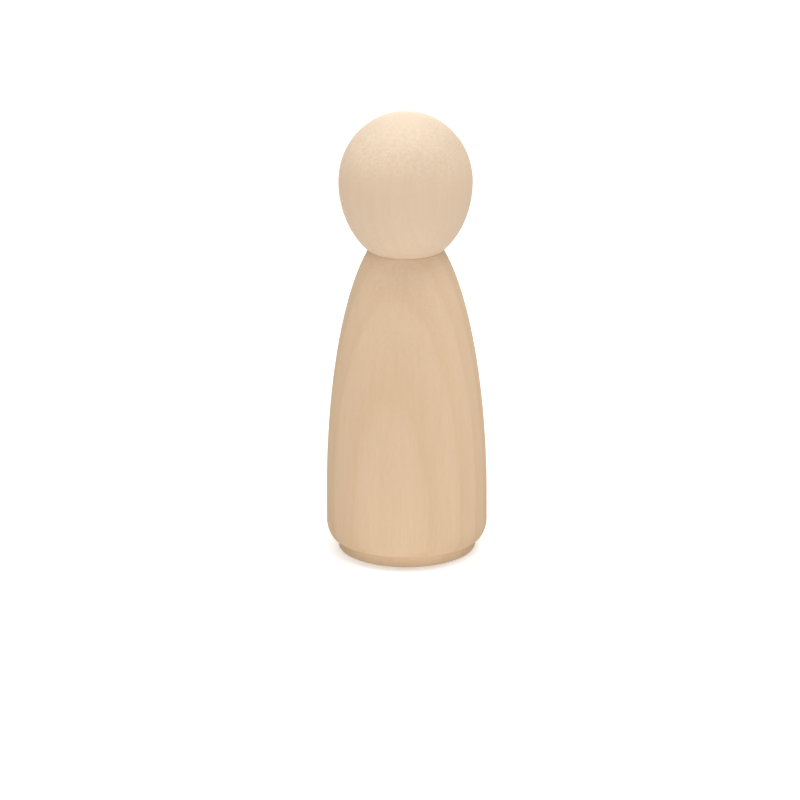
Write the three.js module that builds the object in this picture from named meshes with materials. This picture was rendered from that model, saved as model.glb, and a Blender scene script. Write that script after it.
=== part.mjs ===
// A plain turned wooden doll: an egg-shaped head, pinned and glued on a bell-shaped body with a stepped foot.
// Millimetres, +Z up. The turning axis is Z and the origin is the centre of the foot's underside.

import * as THREE from "three";

// Driving dimensions of the doll
const OVERALL_HEIGHT = 65;
const HEAD_HEIGHT = 20.1; // from the neck seat to the top of the crown
const CROWN_HEIGHT = 10.05; // from the head's widest ring to the top of the crown
const HEAD_DIAMETER = 19.15;
const NECK_DIAMETER = 10.7; // the crease where head and body meet
const BODY_DIAMETER = 23.35;
const SHOULDER_SPAN = THREE.MathUtils.degToRad(66); // how much of a quarter ellipse the shoulder sweeps through
const WALL_HEIGHT = 3.2; // straight stretch between the shoulder and the hem
const HEM_HEIGHT = 2.1;
const HEM_INSET = 0.6; // how far the rounded hem draws in below the wall
const LEDGE_WIDTH = 1.1; // how far the foot stands back under the hem
const FOOT_HEIGHT = 1.9;
const EDGE_BREAK = 0.25; // sanded round on the edges of the hem and the foot

// Driving dimensions of the neck joint
const DOWEL_DIAMETER = 5;
const DOWEL_LENGTH = 16; // half in the head, half in the body
const DOWEL_CHAMFER = 0.6;
const FLUTE_COUNT = 12; // grooves that let the glue spread along the dowel
const FLUTE_DEPTH = 0.25;
const GLUE_GAP = 0.15; // between the dowel and the wall of its sockets
const END_GAP = 0.3; // between each end of the dowel and the bottom of its socket
const MOUTH_CHAMFER = 0.4; // countersink that takes the squeezed-out glue
const DRILL_POINT_ANGLE = THREE.MathUtils.degToRad(118);

// Smoothness of the facets
const TURN_STEPS = 72;
const SHOULDER_STEPS = 16;
const HEAD_STEPS = 13;
const HEM_STEPS = 5;
const EDGE_STEPS = 3;
const FLUTE_STEPS = 4;
const SAME_POINT = 1e-4;

// Sizes that follow from the driving dimensions
const HEAD_RADIUS = HEAD_DIAMETER / 2;
const NECK_RADIUS = NECK_DIAMETER / 2;
const BODY_RADIUS = BODY_DIAMETER / 2;
const NECK_LEVEL = OVERALL_HEIGHT - HEAD_HEIGHT;
const SOCKET_RADIUS = DOWEL_DIAMETER / 2 + GLUE_GAP;
const SOCKET_DEPTH = DOWEL_LENGTH / 2 + END_GAP;
const SOCKET_MOUTH_RADIUS = SOCKET_RADIUS + MOUTH_CHAMFER;
const DRILL_POINT_DEPTH = SOCKET_RADIUS / Math.tan(DRILL_POINT_ANGLE / 2);
const QUARTER_TURN = Math.PI / 2;

function corner(radius, height) {
  return [new THREE.Vector2(radius, height)];
}

function arc(centreRadius, centreHeight, halfWidth, halfHeight, from, to, steps) {
  const clockwise = to < from;
  return new THREE.EllipseCurve(centreRadius, centreHeight, halfWidth, halfHeight, from, to, clockwise)
    .getPoints(steps);
}

// Revolves an outline of (radius, height) points, which starts and ends on the axis, about Z.
function turned(name, outline, material) {
  const points = outline.filter((point, i) => i === 0 || point.distanceTo(outline[i - 1]) > SAME_POINT);
  const geometry = new THREE.LatheGeometry(points, TURN_STEPS);
  geometry.rotateX(QUARTER_TURN);
  const mesh = new THREE.Mesh(geometry, material);
  mesh.name = name;
  return mesh;
}

// Two half ellipses that meet at the widest ring, cut off at the neck, with a drilled blind socket in the seat.
// Heights are measured from the seat.
function makeHead() {
  const widestLevel = HEAD_HEIGHT - CROWN_HEIGHT;
  const seatAngle = Math.acos(NECK_RADIUS / HEAD_RADIUS);
  const chinHalfHeight = widestLevel / Math.sin(seatAngle);
  const outline = [
    ...corner(0, SOCKET_DEPTH + DRILL_POINT_DEPTH),
    ...corner(SOCKET_RADIUS, SOCKET_DEPTH),
    ...corner(SOCKET_RADIUS, MOUTH_CHAMFER),
    ...corner(SOCKET_MOUTH_RADIUS, 0),
    ...arc(0, widestLevel, HEAD_RADIUS, chinHalfHeight, -seatAngle, 0, HEAD_STEPS),
    ...arc(0, widestLevel, HEAD_RADIUS, CROWN_HEIGHT, 0, QUARTER_TURN, HEAD_STEPS),
  ];
  const wood = new THREE.MeshStandardMaterial({ color: 0xe4c9ab, roughness: 0.7, metalness: 0 });
  const head = turned("head", outline, wood);
  head.position.z = NECK_LEVEL;
  return head;
}

// Foot, ledge, hem, straight wall and shoulder in one turning, with a drilled blind socket in the neck face.
function makeBody() {
  const hemEdgeRadius = BODY_RADIUS - HEM_INSET;
  const footRadius = hemEdgeRadius - LEDGE_WIDTH;
  const hemRadius = (HEM_HEIGHT ** 2 + HEM_INSET ** 2) / (2 * HEM_INSET);
  const hemAngle = Math.asin(HEM_HEIGHT / hemRadius);

  // The edge break under the hem is tangent to the hem and to the ledge.
  const hemEdgeLevel = FOOT_HEIGHT + EDGE_BREAK * (1 - Math.sin(hemAngle));
  const breakRadius = hemEdgeRadius - EDGE_BREAK * Math.cos(hemAngle);
  const wallFoot = hemEdgeLevel + HEM_HEIGHT;
  const wallTop = wallFoot + WALL_HEIGHT;

  // The shoulder is the part of a quarter ellipse that runs from the wall to the neck.
  const shoulderHalfWidth = (BODY_RADIUS - NECK_RADIUS) / (1 - Math.cos(SHOULDER_SPAN));
  const shoulderHalfHeight = (NECK_LEVEL - wallTop) / Math.sin(SHOULDER_SPAN);
  const shoulderCentre = BODY_RADIUS - shoulderHalfWidth;

  const outline = [
    ...corner(0, 0),
    ...arc(footRadius - EDGE_BREAK, EDGE_BREAK, EDGE_BREAK, EDGE_BREAK, -QUARTER_TURN, 0, EDGE_STEPS),
    ...corner(footRadius, FOOT_HEIGHT),
    ...arc(breakRadius, FOOT_HEIGHT + EDGE_BREAK, EDGE_BREAK, EDGE_BREAK, -QUARTER_TURN, -hemAngle, EDGE_STEPS),
    ...arc(BODY_RADIUS - hemRadius, wallFoot, hemRadius, hemRadius, -hemAngle, 0, HEM_STEPS),
    ...arc(shoulderCentre, wallTop, shoulderHalfWidth, shoulderHalfHeight, 0, SHOULDER_SPAN, SHOULDER_STEPS),
    ...corner(SOCKET_MOUTH_RADIUS, NECK_LEVEL),
    ...corner(SOCKET_RADIUS, NECK_LEVEL - MOUTH_CHAMFER),
    ...corner(SOCKET_RADIUS, NECK_LEVEL - SOCKET_DEPTH),
    ...corner(0, NECK_LEVEL - SOCKET_DEPTH - DRILL_POINT_DEPTH),
  ];
  const wood = new THREE.MeshStandardMaterial({ color: 0xdec0a0, roughness: 0.75, metalness: 0 });
  return turned("body", outline, wood);
}

// A fluted dowel pin with chamfered ends, centred on the neck crease.
function makeNeckDowel() {
  const shape = new THREE.Shape();
  const pointCount = FLUTE_COUNT * FLUTE_STEPS;
  for (let i = 0; i < pointCount; i += 1) {
    const angle = (i / pointCount) * 2 * Math.PI;
    const groove = (1 - Math.cos(FLUTE_COUNT * angle)) / 2;
    const radius = DOWEL_DIAMETER / 2 - FLUTE_DEPTH * groove;
    const x = radius * Math.cos(angle);
    const y = radius * Math.sin(angle);
    if (i === 0) {
      shape.moveTo(x, y);
    } else {
      shape.lineTo(x, y);
    }
  }
  shape.closePath();
  const geometry = new THREE.ExtrudeGeometry(shape, {
    depth: DOWEL_LENGTH - 2 * DOWEL_CHAMFER,
    bevelEnabled: true,
    bevelThickness: DOWEL_CHAMFER,
    bevelSize: DOWEL_CHAMFER,
    bevelOffset: -DOWEL_CHAMFER,
    bevelSegments: 1,
  });
  geometry.translate(0, 0, DOWEL_CHAMFER - DOWEL_LENGTH / 2);
  const wood = new THREE.MeshStandardMaterial({ color: 0xd9bb93, roughness: 0.8, metalness: 0 });
  const dowel = new THREE.Mesh(geometry, wood);
  dowel.name = "neck_dowel";
  dowel.position.z = NECK_LEVEL;
  return dowel;
}

const doll = new THREE.Group();
doll.add(makeHead(), makeBody(), makeNeckDowel());

export default doll;
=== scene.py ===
import math
from dataclasses import dataclass
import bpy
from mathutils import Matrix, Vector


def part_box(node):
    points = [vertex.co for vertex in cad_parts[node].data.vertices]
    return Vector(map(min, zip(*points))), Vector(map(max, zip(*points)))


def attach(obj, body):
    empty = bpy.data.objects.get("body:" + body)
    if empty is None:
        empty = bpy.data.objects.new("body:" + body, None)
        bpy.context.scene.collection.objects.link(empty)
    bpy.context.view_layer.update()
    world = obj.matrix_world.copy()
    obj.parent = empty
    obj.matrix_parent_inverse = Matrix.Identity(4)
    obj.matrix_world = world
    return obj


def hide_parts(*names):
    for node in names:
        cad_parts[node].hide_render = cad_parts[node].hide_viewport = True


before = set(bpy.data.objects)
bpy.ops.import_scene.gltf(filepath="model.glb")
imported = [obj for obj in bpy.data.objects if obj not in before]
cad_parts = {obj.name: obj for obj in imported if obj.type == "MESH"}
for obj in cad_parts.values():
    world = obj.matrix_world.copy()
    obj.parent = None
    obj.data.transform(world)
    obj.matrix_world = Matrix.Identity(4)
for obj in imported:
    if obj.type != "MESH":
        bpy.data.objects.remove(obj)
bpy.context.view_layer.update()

from types import SimpleNamespace

import bpy
from mathutils import Matrix, Vector

# A plain turned wooden doll on a white stage. Metres, +Z up, with the turning axis on Z.

MM = 0.001
QUARTER_TURN = math.pi / 2

# Sizes that come from the frame
HEAD_LOW, HEAD_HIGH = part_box("head")
BODY_LOW, BODY_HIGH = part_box("body")
DOWEL_LOW, DOWEL_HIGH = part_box("neck_dowel")
NECK_LEVEL = BODY_HIGH.z
CROWN_LEVEL = HEAD_HIGH.z
MIDDLE = Vector((0, 0, CROWN_LEVEL / 2))
HEAD_RADIUS = (HEAD_HIGH.x - HEAD_LOW.x) / 2
BODY_RADIUS = (BODY_HIGH.x - BODY_LOW.x) / 2
DOWEL_RADIUS = (DOWEL_HIGH.x - DOWEL_LOW.x) / 2
DOWEL_HALF_LENGTH = (DOWEL_HIGH.z - DOWEL_LOW.z) / 2

# Turned profile
CROWN_HEIGHT = 10.05 * MM  # from the head's widest ring to its top
NECK_RADIUS = 5.35 * MM  # the crease where head and body meet
NECK_EASE = 0.1 * MM  # how far the neck faces stop short of the crease, so that its edges are eased
CHIN_TRIM = 0.012  # radians that the chin's arc stops short of the crease
SHOULDER_TRIM = 0.006  # radians that the shoulder's arc stops short of the crease
SHOULDER_SPAN = math.radians(66)  # how much of a quarter ellipse the shoulder sweeps through
WALL_HEIGHT = 3.2 * MM  # straight stretch between the shoulder and the hem
HEM_HEIGHT = 2.1 * MM
HEM_INSET = 0.6 * MM  # how far the rounded hem draws in below the wall
LEDGE_WIDTH = 1.1 * MM  # how far the foot stands back under the hem
FOOT_HEIGHT = 1.9 * MM
EDGE_BREAK = 0.25 * MM  # sanded round on the edges of the hem and the foot
HEM_EDGE_RADIUS = BODY_RADIUS - HEM_INSET
FOOT_RADIUS = HEM_EDGE_RADIUS - LEDGE_WIDTH

# Sockets of the neck dowel
GLUE_GAP = 0.15 * MM
END_GAP = 0.3 * MM
MOUTH_CHAMFER = 0.4 * MM
DRILL_POINT_ANGLE = math.radians(118)
SOCKET_RADIUS = DOWEL_RADIUS + GLUE_GAP
SOCKET_DEPTH = DOWEL_HALF_LENGTH + END_GAP
DRILL_POINT_DEPTH = SOCKET_RADIUS / math.tan(DRILL_POINT_ANGLE / 2)

# Smoothness of the meshes
TURN_STEPS = 192
CHIN_STEPS = 48
CROWN_STEPS = 56
SHOULDER_STEPS = 90
WALL_STEPS = 6
HEM_STEPS = 20
EDGE_STEPS = 8
SAME_POINT = 0.002 * MM
SHARP_ANGLE = math.radians(32)

# Edges that sanding has rubbed, as (radius, height); the wood is painted lighter along them, partly as wear
# and partly as a painted highlight
HEAD_EDGES = [(NECK_RADIUS, NECK_LEVEL)]
BODY_EDGES = [(HEM_EDGE_RADIUS, FOOT_HEIGHT), (FOOT_RADIUS, 0)]
EDGE_REACH = 0.35 * MM
EDGE_NAME = "edge"

# Marks in the wood: mm across the grain, mm along it, detail and roughness of the noise
LAYER_SWAY = (14, 45, 1.0, 0.5)
LAYER_RIPPLE = (1.6, 14, 3.0, 0.5)
FIBRE = (0.8, 14, 3.0, 0.6)
HAIR = (0.17, 3.0, 2.0, 0.6)
BLOTCH = (8, 20, 1.0, 0.5)
STIPPLE = (0.5, 0.36, 3.0, 0.65)
TOOL_LINE = (1, 0.35, 2.0, 0.5)
NOISE_MEAN = 0.5

# Growth layers: (place, paleness) across one layer, from its inner boundary outwards
GROWTH_STOPS = ((0.0, 0.45), (0.1, 0.95), (0.28, 1.0), (0.62, 0.6), (0.88, 0.08), (0.94, 0.0), (1.0, 0.45))
RIPPLE_SHARE = 0.6  # ripple of the layers, as a share of their slow sway

# Vessels: one at most in each cell of the wood, in mm and then in shares of a cell and of a chance
VESSEL_WIDTH = 0.24
VESSEL_LENGTH = 1.5
VESSEL_CORE = 0.12
VESSEL_RIM = 0.4
VESSEL_NONE_BELOW = 0.2
VESSEL_FULL_ABOVE = 0.9

# End grain; its less saturated colour is partly a painted sheen, weaker on faces turned down
UNDERSIDE_SHARE = 0.45
END_GRAIN_POWER = 1.5
TORN_PEAK = 4.0  # brings torn grain to 1 half-way from side grain to end grain

# Bump: how high each mark stands, in shares of the bump distance
FIBRE_HEIGHT = 0.6
HAIR_HEIGHT = 0.5
STIPPLE_HEIGHT = 1.2
TOOL_LINE_HEIGHT = 0.25
VESSEL_HEIGHT = -0.35
BUMP_STRENGTH = 0.6
BUMP_DISTANCE = 0.02 * MM

# Roughness that each mark adds
FIBRE_ROUGHNESS = 0.25
EDGE_ROUGHNESS = -0.06
VESSEL_ROUGHNESS = 0.08

# Number of each colour socket on a mix node, whose names are shared by its other kinds of value
MIX_SHARE = 0
MIX_FIRST = 6
MIX_SECOND = 7
MIX_RESULT = 2

# Floor: its lift towards white starts at NEAR_LIFT and is whole from FAR_RADIUS out
WHITE = (1, 1, 1, 1)
FLOOR_COLOUR = (0.9, 0.9, 0.9, 1)
FLOOR_HALF_SIZE = 3.0
FLOOR_LEVEL = -0.02 * MM
NEAR_LIFT = 0.35
NEAR_RADIUS = 0.12
FAR_RADIUS = 0.5

# Lamps: name, azimuth (0 in front of the doll and 90 to its right), elevation, distance and watts
FAR_LAMP = 0.6
NEAR_LAMP = 0.22
LAMP_SPREAD = 0.65  # a lamp's diameter, as a share of its distance
LAMPS = (
    ("front", 0, 6, FAR_LAMP, 2.38),
    ("high_right", 75, 75, FAR_LAMP, 1.68),
    ("back", 180, 12, FAR_LAMP, 1.2),
    ("near_left", -90, 45, NEAR_LAMP, 0.125),
    ("near_left_back", -120, 65, NEAR_LAMP, 0.18),
    ("near_right", 90, 25, NEAR_LAMP, 0.055),
    ("near_right_back", 120, 45, NEAR_LAMP, 0.12),
)

# Camera: the doll's mid-height is at this pixel of the frame
FRAME_SIZE = 800
MIDDLE_PIXEL = (406.4, 331.75)
PIXELS_PER_METRE = 6942.1
CAMERA_DISTANCE = 0.6
CAMERA_ELEVATION = math.radians(17.38)
CAMERA_ROLL = math.radians(-0.22)
SENSOR_WIDTH = 36.0
CLIP_START = 0.01
CLIP_END = 20


# Profiles, as (radius, height) points that start and end on the axis

def arc(centre, half_width, half_height, start, end, steps):
    """Points of an ellipse's arc, from one angle to another."""
    angles = [start + (end - start) * i / steps for i in range(steps + 1)]
    return [(centre[0] + half_width * math.cos(a), centre[1] + half_height * math.sin(a)) for a in angles]


def socket_profile(side):
    """Drilled socket and neck face, from the axis out; side is 1 up in the head, -1 down in the body."""
    return [
        (0, NECK_LEVEL + side * (SOCKET_DEPTH + DRILL_POINT_DEPTH)),
        (SOCKET_RADIUS, NECK_LEVEL + side * SOCKET_DEPTH),
        (SOCKET_RADIUS, NECK_LEVEL + side * MOUTH_CHAMFER),
        (SOCKET_RADIUS + MOUTH_CHAMFER, NECK_LEVEL),
        (NECK_RADIUS - NECK_EASE, NECK_LEVEL),
    ]


def head_profile():
    """Two half ellipses that meet at the widest ring, cut off at the neck."""
    widest = CROWN_LEVEL - CROWN_HEIGHT
    seat_angle = math.acos(NECK_RADIUS / HEAD_RADIUS)
    chin_height = (widest - NECK_LEVEL) / math.sin(seat_angle)
    return [
        *socket_profile(1),
        *arc((0, widest), HEAD_RADIUS, chin_height, CHIN_TRIM - seat_angle, 0, CHIN_STEPS),
        *arc((0, widest), HEAD_RADIUS, CROWN_HEIGHT, 0, QUARTER_TURN, CROWN_STEPS),
    ]


def body_profile():
    """Foot, ledge, hem, straight wall and shoulder."""
    hem_radius = (HEM_HEIGHT ** 2 + HEM_INSET ** 2) / (2 * HEM_INSET)
    hem_angle = math.asin(HEM_HEIGHT / hem_radius)
    wall_foot = FOOT_HEIGHT + EDGE_BREAK * (1 - math.sin(hem_angle)) + HEM_HEIGHT
    wall_top = wall_foot + WALL_HEIGHT
    shoulder_width = (BODY_RADIUS - NECK_RADIUS) / (1 - math.cos(SHOULDER_SPAN))
    shoulder_height = (NECK_LEVEL - wall_top) / math.sin(SHOULDER_SPAN)
    shoulder_end = SHOULDER_SPAN - SHOULDER_TRIM

    foot_centre = (FOOT_RADIUS - EDGE_BREAK, EDGE_BREAK)
    break_centre = (HEM_EDGE_RADIUS - EDGE_BREAK * math.cos(hem_angle), FOOT_HEIGHT + EDGE_BREAK)
    hem_centre = (BODY_RADIUS - hem_radius, wall_foot)
    shoulder_centre = (BODY_RADIUS - shoulder_width, wall_top)
    wall = [(BODY_RADIUS, wall_foot + WALL_HEIGHT * i / WALL_STEPS) for i in range(1, WALL_STEPS)]
    return [
        (0, 0),
        *arc(foot_centre, EDGE_BREAK, EDGE_BREAK, -QUARTER_TURN, 0, EDGE_STEPS),
        (FOOT_RADIUS, FOOT_HEIGHT),
        *arc(break_centre, EDGE_BREAK, EDGE_BREAK, -QUARTER_TURN, -hem_angle, EDGE_STEPS),
        *arc(hem_centre, hem_radius, hem_radius, -hem_angle, 0, HEM_STEPS),
        *wall,
        *arc(shoulder_centre, shoulder_width, shoulder_height, 0, shoulder_end, SHOULDER_STEPS),
        *reversed(socket_profile(-1)),
    ]


# Turned meshes

def link(name, data):
    made = bpy.data.objects.new(name, data)
    bpy.context.scene.collection.objects.link(made)
    return made


def turned_points(first, rings, last):
    """The two ends on the axis, and then each ring."""
    points = [(0, 0, first[1]), (0, 0, last[1])]
    for radius, level in rings:
        for step in range(TURN_STEPS):
            angle = 2 * math.pi * step / TURN_STEPS
            points.append((radius * math.cos(angle), radius * math.sin(angle), level))
    return points


def turned_faces(ring_count):
    """A fan at each end, and quads between the rings."""
    first, last, ring_start = 0, 1, 2
    starts = [ring_start + ring * TURN_STEPS for ring in range(ring_count)]
    faces = []
    for step in range(TURN_STEPS):
        after = (step + 1) % TURN_STEPS
        faces.append((first, starts[0] + after, starts[0] + step))
        for low, high in zip(starts, starts[1:]):
            faces.append((low + step, low + after, high + after, high + step))
        faces.append((starts[-1] + step, starts[-1] + after, last))
    return faces


def edge_weight(point, edges):
    """1 on a rubbed edge, which is painted lighter as wear and as a painted highlight, and 0 away from it.
    """
    return max(math.exp(-(math.dist(point, edge) / EDGE_REACH) ** 2) for edge in edges)


def turn(name, profile, edges):
    """A closed mesh: the profile turned about Z."""
    path = [p for i, p in enumerate(profile) if i == 0 or math.dist(p, profile[i - 1]) > SAME_POINT]
    first, *rings, last = path
    mesh = bpy.data.meshes.new(name)
    mesh.from_pydata(turned_points(first, rings, last), [], turned_faces(len(rings)))
    mesh.validate()
    weights = [edge_weight(first, edges), edge_weight(last, edges)]
    for ring in rings:
        weights += [edge_weight(ring, edges)] * TURN_STEPS
    mesh.attributes.new(EDGE_NAME, "FLOAT", "POINT").data.foreach_set("value", weights)
    mesh.shade_smooth()
    mesh.set_sharp_from_angle(angle=SHARP_ANGLE)
    return link(name, mesh)


# Nodes

def plug(tree, socket, value):
    """Links a socket to an output, or sets its value."""
    if isinstance(value, bpy.types.NodeSocket):
        tree.links.new(value, socket)
    else:
        socket.default_value = value


def add(tree, kind, inputs=None, **settings):
    """A new node with its settings, and its inputs by name or number."""
    made = tree.nodes.new(kind)
    for key, value in settings.items():
        setattr(made, key, value)
    for key, value in (inputs or {}).items():
        plug(tree, made.inputs[key], value)
    return made


def calc(tree, operation, *values):
    return add(tree, "ShaderNodeMath", dict(enumerate(values)), operation=operation).outputs["Value"]


def vector_calc(tree, operation, *values):
    return add(tree, "ShaderNodeVectorMath", dict(enumerate(values)), operation=operation).outputs["Vector"]


def axis(tree, vector, name):
    return add(tree, "ShaderNodeSeparateXYZ", {"Vector": vector}).outputs[name]


def total(tree, start, *terms):
    """The start plus each mark times its weight."""
    for mark, weight in terms:
        start = calc(tree, "MULTIPLY_ADD", mark, weight, start)
    return start


def smooth(tree, value, low, high):
    """0 below low, 1 above high."""
    inputs = {"Value": value, "From Min": low, "From Max": high}
    return add(tree, "ShaderNodeMapRange", inputs, interpolation_type="SMOOTHSTEP").outputs["Result"]


def mix_colour(tree, share, first, second):
    inputs = {MIX_SHARE: share, MIX_FIRST: first, MIX_SECOND: second}
    return add(tree, "ShaderNodeMix", inputs, data_type="RGBA").outputs[MIX_RESULT]


def scale_colour(tree, colour, level):
    inputs = {"Vector": colour, "Scale": level}
    return add(tree, "ShaderNodeVectorMath", inputs, operation="SCALE").outputs["Vector"]


def ramp(tree, place, stops):
    made = add(tree, "ShaderNodeValToRGB", {"Fac": place})
    elements = made.color_ramp.elements
    last_position = stops[-1][0]
    while len(elements) < len(stops):
        elements.new(last_position)
    for element, (position, level) in zip(elements, stops):
        element.position = position
        element.color = (level, level, level, 1)
    return made.outputs["Color"]


def stretch(tree, vector, across, along):
    """Places in mm, counted in marks: across the grain and along it."""
    return vector_calc(tree, "MULTIPLY", vector, (1 / across, 1 / across, 1 / along))


def noise(tree, vector, mark):
    """Noise about zero."""
    across, along, detail, roughness = mark
    place = stretch(tree, vector, across, along)
    inputs = {"Vector": place, "Scale": 1.0, "Detail": detail, "Roughness": roughness}
    made = add(tree, "ShaderNodeTexNoise", inputs)
    return calc(tree, "SUBTRACT", made.outputs["Fac"], NOISE_MEAN)


# Wood

@dataclass
class Wood:
    """One blank: its colours, how its growth layers lie in mm, and how strong each mark is."""
    early: tuple  # pale wood that each growth layer starts with
    late: tuple  # darker wood that it ends with
    end: tuple  # end grain: a less saturated colour than the side grain, partly as a painted sheen where it faces up
    pore: tuple  # inside of the vessels
    layer_turn: float  # radians that the growth layers are turned round the axis
    layer_width: float
    layer_start: float  # from the axis out to a growth boundary
    pith_distance: float
    shift: tuple  # keeps the marks of one blank apart from another's
    layer_wander: float = 0.9
    fibre: float = 0.09
    hair: float = 0.085
    stipple: float = 0.2
    blotch: float = 0.05
    side_pores: float = 0.1
    end_pores: float = 0.25
    # how much lighter the rubbed edges are painted: partly wear, partly a painted highlight
    edge_rub_and_highlight: float = 0.05
    dullness: float = 0.8
    gloss: float = 0.05


HEAD_WOOD = Wood(
    early=(0.73, 0.552, 0.386),
    late=(0.721, 0.54, 0.372),
    # the end grain's less red, less saturated colour is partly a painted sheen on the crown
    end=(0.7, 0.566, 0.428),
    pore=(0.52, 0.34, 0.2),
    layer_turn=math.radians(-62),
    layer_width=2.3,
    layer_start=1.1,
    pith_distance=38,
    shift=(37.0, 62.9, 85.1),
    fibre=0.06,
    hair=0.055,
    stipple=0.36,
    dullness=0.7,
    gloss=0.5,
)
BODY_WOOD = Wood(
    early=(0.743, 0.544, 0.363),
    late=(0.717, 0.513, 0.331),
    end=(0.74, 0.565, 0.4),
    pore=(0.5, 0.31, 0.17),
    layer_turn=math.radians(11.7),
    layer_width=2.85,
    layer_start=7.75,
    pith_distance=70,
    shift=(0.0, 0.0, 0.0),
)
DOWEL_WOOD = Wood(
    early=(0.68, 0.48, 0.28),
    late=(0.62, 0.42, 0.23),
    end=(0.66, 0.48, 0.3),
    pore=(0.42, 0.26, 0.13),
    layer_turn=math.radians(30),
    layer_width=1.8,
    layer_start=0.4,
    pith_distance=25,
    shift=(91.0, 154.7, 209.3),
)


def blank_space(tree, look):
    """Places in mm: X runs out from the pith, Y along the growth layers and Z up the grain."""
    place = tree.nodes.new("ShaderNodeTexCoord").outputs["Object"]
    rotation = (0, 0, QUARTER_TURN + look.layer_turn)
    inputs = {"Vector": place, "Scale": (1 / MM, 1 / MM, 1 / MM), "Rotation": rotation}
    return add(tree, "ShaderNodeMapping", inputs).outputs["Vector"]


def growth_tone(tree, space, place, look):
    """1 in the pale wood outside each growth boundary, falling to 0 in the darker wood inside the next."""
    outward = calc(tree, "ADD", axis(tree, space, "X"), look.pith_distance)
    sideways = axis(tree, space, "Y")
    squares = calc(tree, "ADD", calc(tree, "POWER", outward, 2.0), calc(tree, "POWER", sideways, 2.0))
    depth = calc(tree, "SUBTRACT", calc(tree, "SQRT", squares), look.pith_distance + look.layer_start)
    sway = noise(tree, place, LAYER_SWAY)
    ripple = noise(tree, place, LAYER_RIPPLE)
    depth = total(tree, depth, (sway, look.layer_wander), (ripple, look.layer_wander * RIPPLE_SHARE))
    layers = calc(tree, "DIVIDE", depth, look.layer_width)
    return ramp(tree, calc(tree, "FRACT", layers), GROWTH_STOPS)


def vessel_mask(tree, place):
    """1 inside the fine vessels, which are short dashes along the grain and dots across it."""
    inputs = {"Vector": stretch(tree, place, VESSEL_WIDTH, VESSEL_LENGTH), "Scale": 1.0}
    cells = add(tree, "ShaderNodeTexVoronoi", inputs)
    chance = add(tree, "ShaderNodeSeparateColor", {"Color": cells.outputs["Color"]}).outputs["Red"]
    outside = smooth(tree, cells.outputs["Distance"], VESSEL_CORE, VESSEL_RIM)
    inside = calc(tree, "SUBTRACT", 1.0, outside)
    return calc(tree, "MULTIPLY", inside, smooth(tree, chance, VESSEL_NONE_BELOW, VESSEL_FULL_ABOVE))


def end_grain_share(tree):
    """0 on the sides of the turning, 1 where its top cuts straight across the grain, less underneath; the
    less saturated end-grain colour that it mixes in is partly a painted sheen.
    """
    normal = tree.nodes.new("ShaderNodeNewGeometry").outputs["Normal"]
    up = axis(tree, normal, "Z")
    either_end = calc(tree, "MAXIMUM", up, calc(tree, "MULTIPLY", up, -UNDERSIDE_SHARE))
    return calc(tree, "POWER", either_end, END_GRAIN_POWER)


def torn_grain_share(tree, end_grain_and_sheen):
    """1 where the fibres leave the surface at a slant, and 0 along them and straight across them."""
    side_grain = calc(tree, "SUBTRACT", 1.0, end_grain_and_sheen)
    return calc(tree, "MULTIPLY", calc(tree, "MULTIPLY", end_grain_and_sheen, side_grain), TORN_PEAK)


def tool_lines(tree, place):
    """Fine lines round the turning."""
    level = add(tree, "ShaderNodeCombineXYZ", {"Z": axis(tree, place, "Z")}).outputs["Vector"]
    return noise(tree, level, TOOL_LINE)


def wood_marks(tree, look):
    """The outputs that each mark of this blank is read from."""
    space = blank_space(tree, look)
    place = vector_calc(tree, "ADD", space, look.shift)
    end_grain_and_sheen = end_grain_share(tree)
    torn_grain = torn_grain_share(tree, end_grain_and_sheen)
    return SimpleNamespace(
        tone=growth_tone(tree, space, place, look),
        fibre=noise(tree, place, FIBRE),
        hair=noise(tree, place, HAIR),
        blotch=noise(tree, place, BLOTCH),
        stipple=calc(tree, "MULTIPLY", noise(tree, place, STIPPLE), torn_grain),
        tool_line=tool_lines(tree, place),
        vessel=vessel_mask(tree, place),
        end_grain_and_sheen=end_grain_and_sheen,
        edge=add(tree, "ShaderNodeAttribute", attribute_name=EDGE_NAME).outputs["Fac"],
    )


def wood_colour(tree, marks, look):
    """Growth layers and end grain, lightened and darkened by the fine marks, with the vessels over them.
    The end grain's less saturated colour is partly a painted sheen, and the rubbed edges carry a painted
    highlight as well as wear.
    """
    level = total(
        tree,
        1.0,
        (marks.fibre, look.fibre),
        (marks.hair, look.hair),
        (marks.stipple, look.stipple),
        (marks.blotch, look.blotch),
        # rubbed edges painted lighter: partly wear, partly a painted highlight
        (marks.edge, look.edge_rub_and_highlight),
    )
    colour = mix_colour(tree, marks.tone, (*look.late, 1), (*look.early, 1))
    # end grain mixed in with a less saturated colour, partly a painted sheen on the faces turned up
    colour = mix_colour(tree, marks.end_grain_and_sheen, colour, (*look.end, 1))
    colour = scale_colour(tree, colour, level)
    pore_strength = total(tree, look.side_pores, (marks.end_grain_and_sheen, look.end_pores - look.side_pores))
    pore_share = calc(tree, "MULTIPLY", marks.vessel, pore_strength)
    return mix_colour(tree, pore_share, colour, (*look.pore, 1))


def wood_roughness(tree, marks, look):
    return total(
        tree,
        look.dullness,
        (marks.fibre, FIBRE_ROUGHNESS),
        (marks.edge, EDGE_ROUGHNESS),
        (marks.vessel, VESSEL_ROUGHNESS),
    )


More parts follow.
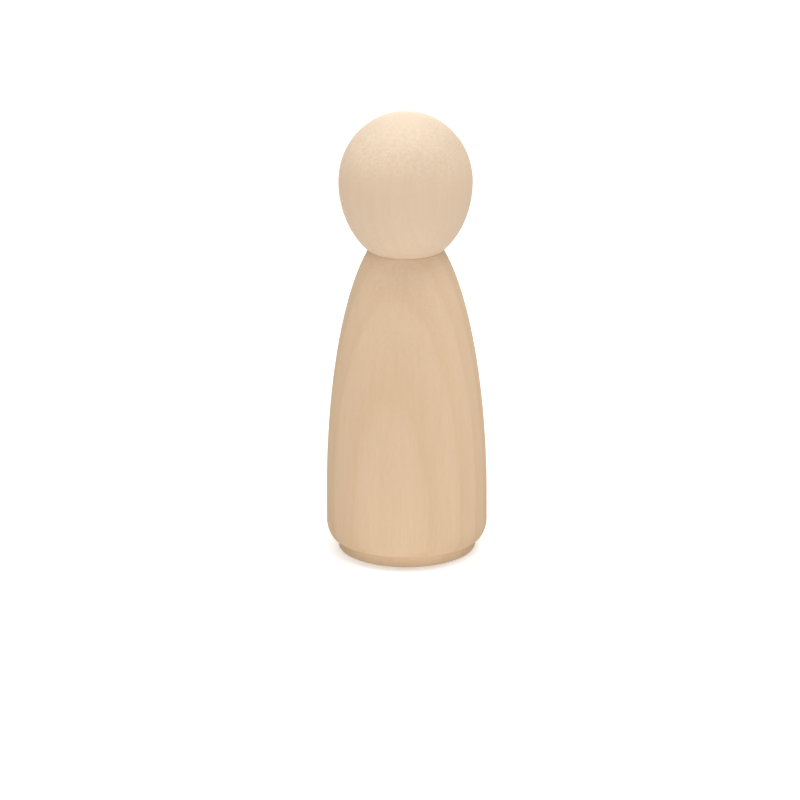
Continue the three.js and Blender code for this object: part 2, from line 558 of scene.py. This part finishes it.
def wood_bump(tree, marks):
    height = total(
        tree,
        0.0,
        (marks.fibre, FIBRE_HEIGHT),
        (marks.hair, HAIR_HEIGHT),
        (marks.stipple, STIPPLE_HEIGHT),
        (marks.tool_line, TOOL_LINE_HEIGHT),
        (marks.vessel, VESSEL_HEIGHT),
    )
    inputs = {"Strength": BUMP_STRENGTH, "Distance": BUMP_DISTANCE, "Height": height}
    return add(tree, "ShaderNodeBump", inputs).outputs["Normal"]


def wood(name, look):
    """Bare sanded wood cut from a solid blank."""
    material = bpy.data.materials.new(name)
    material.use_nodes = True
    tree = material.node_tree
    shader = tree.nodes["Principled BSDF"]
    marks = wood_marks(tree, look)
    plug(tree, shader.inputs["Base Color"], wood_colour(tree, marks, look))
    plug(tree, shader.inputs["Roughness"], wood_roughness(tree, marks, look))
    plug(tree, shader.inputs["Normal"], wood_bump(tree, marks))
    plug(tree, shader.inputs["Specular IOR Level"], look.gloss)
    return material


# Pieces

def make_head():
    head = turn("turned_head", head_profile(), HEAD_EDGES)
    head.data.materials.append(wood("head_wood", HEAD_WOOD))
    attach(head, "root")
    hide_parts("head")


def make_body():
    body = turn("turned_body", body_profile(), BODY_EDGES)
    body.data.materials.append(wood("body_wood", BODY_WOOD))
    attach(body, "root")
    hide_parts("body")


def dress_dowel():
    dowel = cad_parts["neck_dowel"]
    dowel.data.materials.clear()
    dowel.data.materials.append(wood("dowel_wood", DOWEL_WOOD))


# Stage

def camera_sees(tree):
    """1 where the camera looks, straight or by a mirror or through glass, and 0 for light on things."""
    path = tree.nodes.new("ShaderNodeLightPath").outputs
    indirect = calc(tree, "MAXIMUM", path["Is Glossy Ray"], path["Is Transmission Ray"])
    return calc(tree, "MAXIMUM", path["Is Camera Ray"], indirect)


def make_world():
    """White where it is seen, and no light of its own."""
    world = bpy.data.worlds.new("studio")
    bpy.context.scene.world = world
    world.use_nodes = True
    tree = world.node_tree
    tree.nodes.clear()
    background = add(tree, "ShaderNodeBackground", {"Color": WHITE, "Strength": camera_sees(tree)})
    add(tree, "ShaderNodeOutputWorld", {"Surface": background.outputs["Background"]})


def floor_material():
    """A pale floor that keeps the doll's shadow, and is lifted to white further out where it is seen."""
    material = bpy.data.materials.new("pale_floor")
    material.use_nodes = True
    tree = material.node_tree
    tree.nodes.clear()
    place = tree.nodes.new("ShaderNodeTexCoord").outputs["Object"]
    away = add(tree, "ShaderNodeVectorMath", {"Vector": place}, operation="LENGTH").outputs["Value"]
    far = smooth(tree, away, NEAR_RADIUS, FAR_RADIUS)
    lift = total(tree, NEAR_LIFT, (far, 1 - NEAR_LIFT))
    seen_lift = calc(tree, "MULTIPLY", lift, camera_sees(tree))
    diffuse = add(tree, "ShaderNodeBsdfDiffuse", {"Color": FLOOR_COLOUR})
    glow = add(tree, "ShaderNodeEmission", {"Color": WHITE, "Strength": seen_lift})
    lifted = add(tree, "ShaderNodeAddShader", {0: diffuse.outputs["BSDF"], 1: glow.outputs["Emission"]})
    add(tree, "ShaderNodeOutputMaterial", {"Surface": lifted.outputs["Shader"]})
    return material


def make_floor():
    mesh = bpy.data.meshes.new("floor")
    sides = ((-1, -1), (1, -1), (1, 1), (-1, 1))
    corners = [(x * FLOOR_HALF_SIZE, y * FLOOR_HALF_SIZE, FLOOR_LEVEL) for x, y in sides]
    mesh.from_pydata(corners, [], [(0, 1, 2, 3)])
    mesh.materials.append(floor_material())
    link("floor", mesh)


def soft_lamp(name, azimuth, elevation, distance, watts):
    """A round lamp that faces the middle of the doll."""
    turned = math.radians(azimuth)
    raised = math.radians(elevation)
    level = Vector((math.sin(turned), -math.cos(turned), 0))
    outward = level * math.cos(raised) + Vector((0, 0, math.sin(raised)))
    data = bpy.data.lights.new(name, "AREA")
    data.shape = "DISK"
    data.size = LAMP_SPREAD * distance
    data.energy = watts
    lamp = link(name, data)
    lamp.location = MIDDLE + outward * distance
    lamp.rotation_euler = (-outward).to_track_quat("-Z", "Y").to_euler()
    lamp.visible_camera = False


def make_camera():
    focal_pixels = PIXELS_PER_METRE * CAMERA_DISTANCE
    data = bpy.data.cameras.new("camera")
    data.sensor_width = SENSOR_WIDTH
    data.lens = SENSOR_WIDTH * focal_pixels / FRAME_SIZE
    data.clip_start = CLIP_START
    data.clip_end = CLIP_END
    camera = link("camera", data)
    bpy.context.scene.camera = camera

    back = Vector((0, -math.cos(CAMERA_ELEVATION), math.sin(CAMERA_ELEVATION)))
    place = Matrix.Translation(MIDDLE + back * CAMERA_DISTANCE)
    straight = (-back).to_track_quat("-Z", "Y").to_matrix().to_4x4()
    turn_right = math.atan((MIDDLE_PIXEL[0] - FRAME_SIZE / 2) / focal_pixels)
    turn_up = math.atan((FRAME_SIZE / 2 - MIDDLE_PIXEL[1]) / focal_pixels)
    tilt = Matrix.Rotation(-turn_up, 4, "X") @ Matrix.Rotation(turn_right, 4, "Y")
    roll = Matrix.Rotation(CAMERA_ROLL, 4, "Z")
    camera.matrix_world = place @ straight @ tilt @ roll


make_head()
make_body()
dress_dowel()
make_world()
make_floor()
for lamp_values in LAMPS:
    soft_lamp(*lamp_values)
make_camera()
bpy.context.scene.view_settings.view_transform = "Standard"
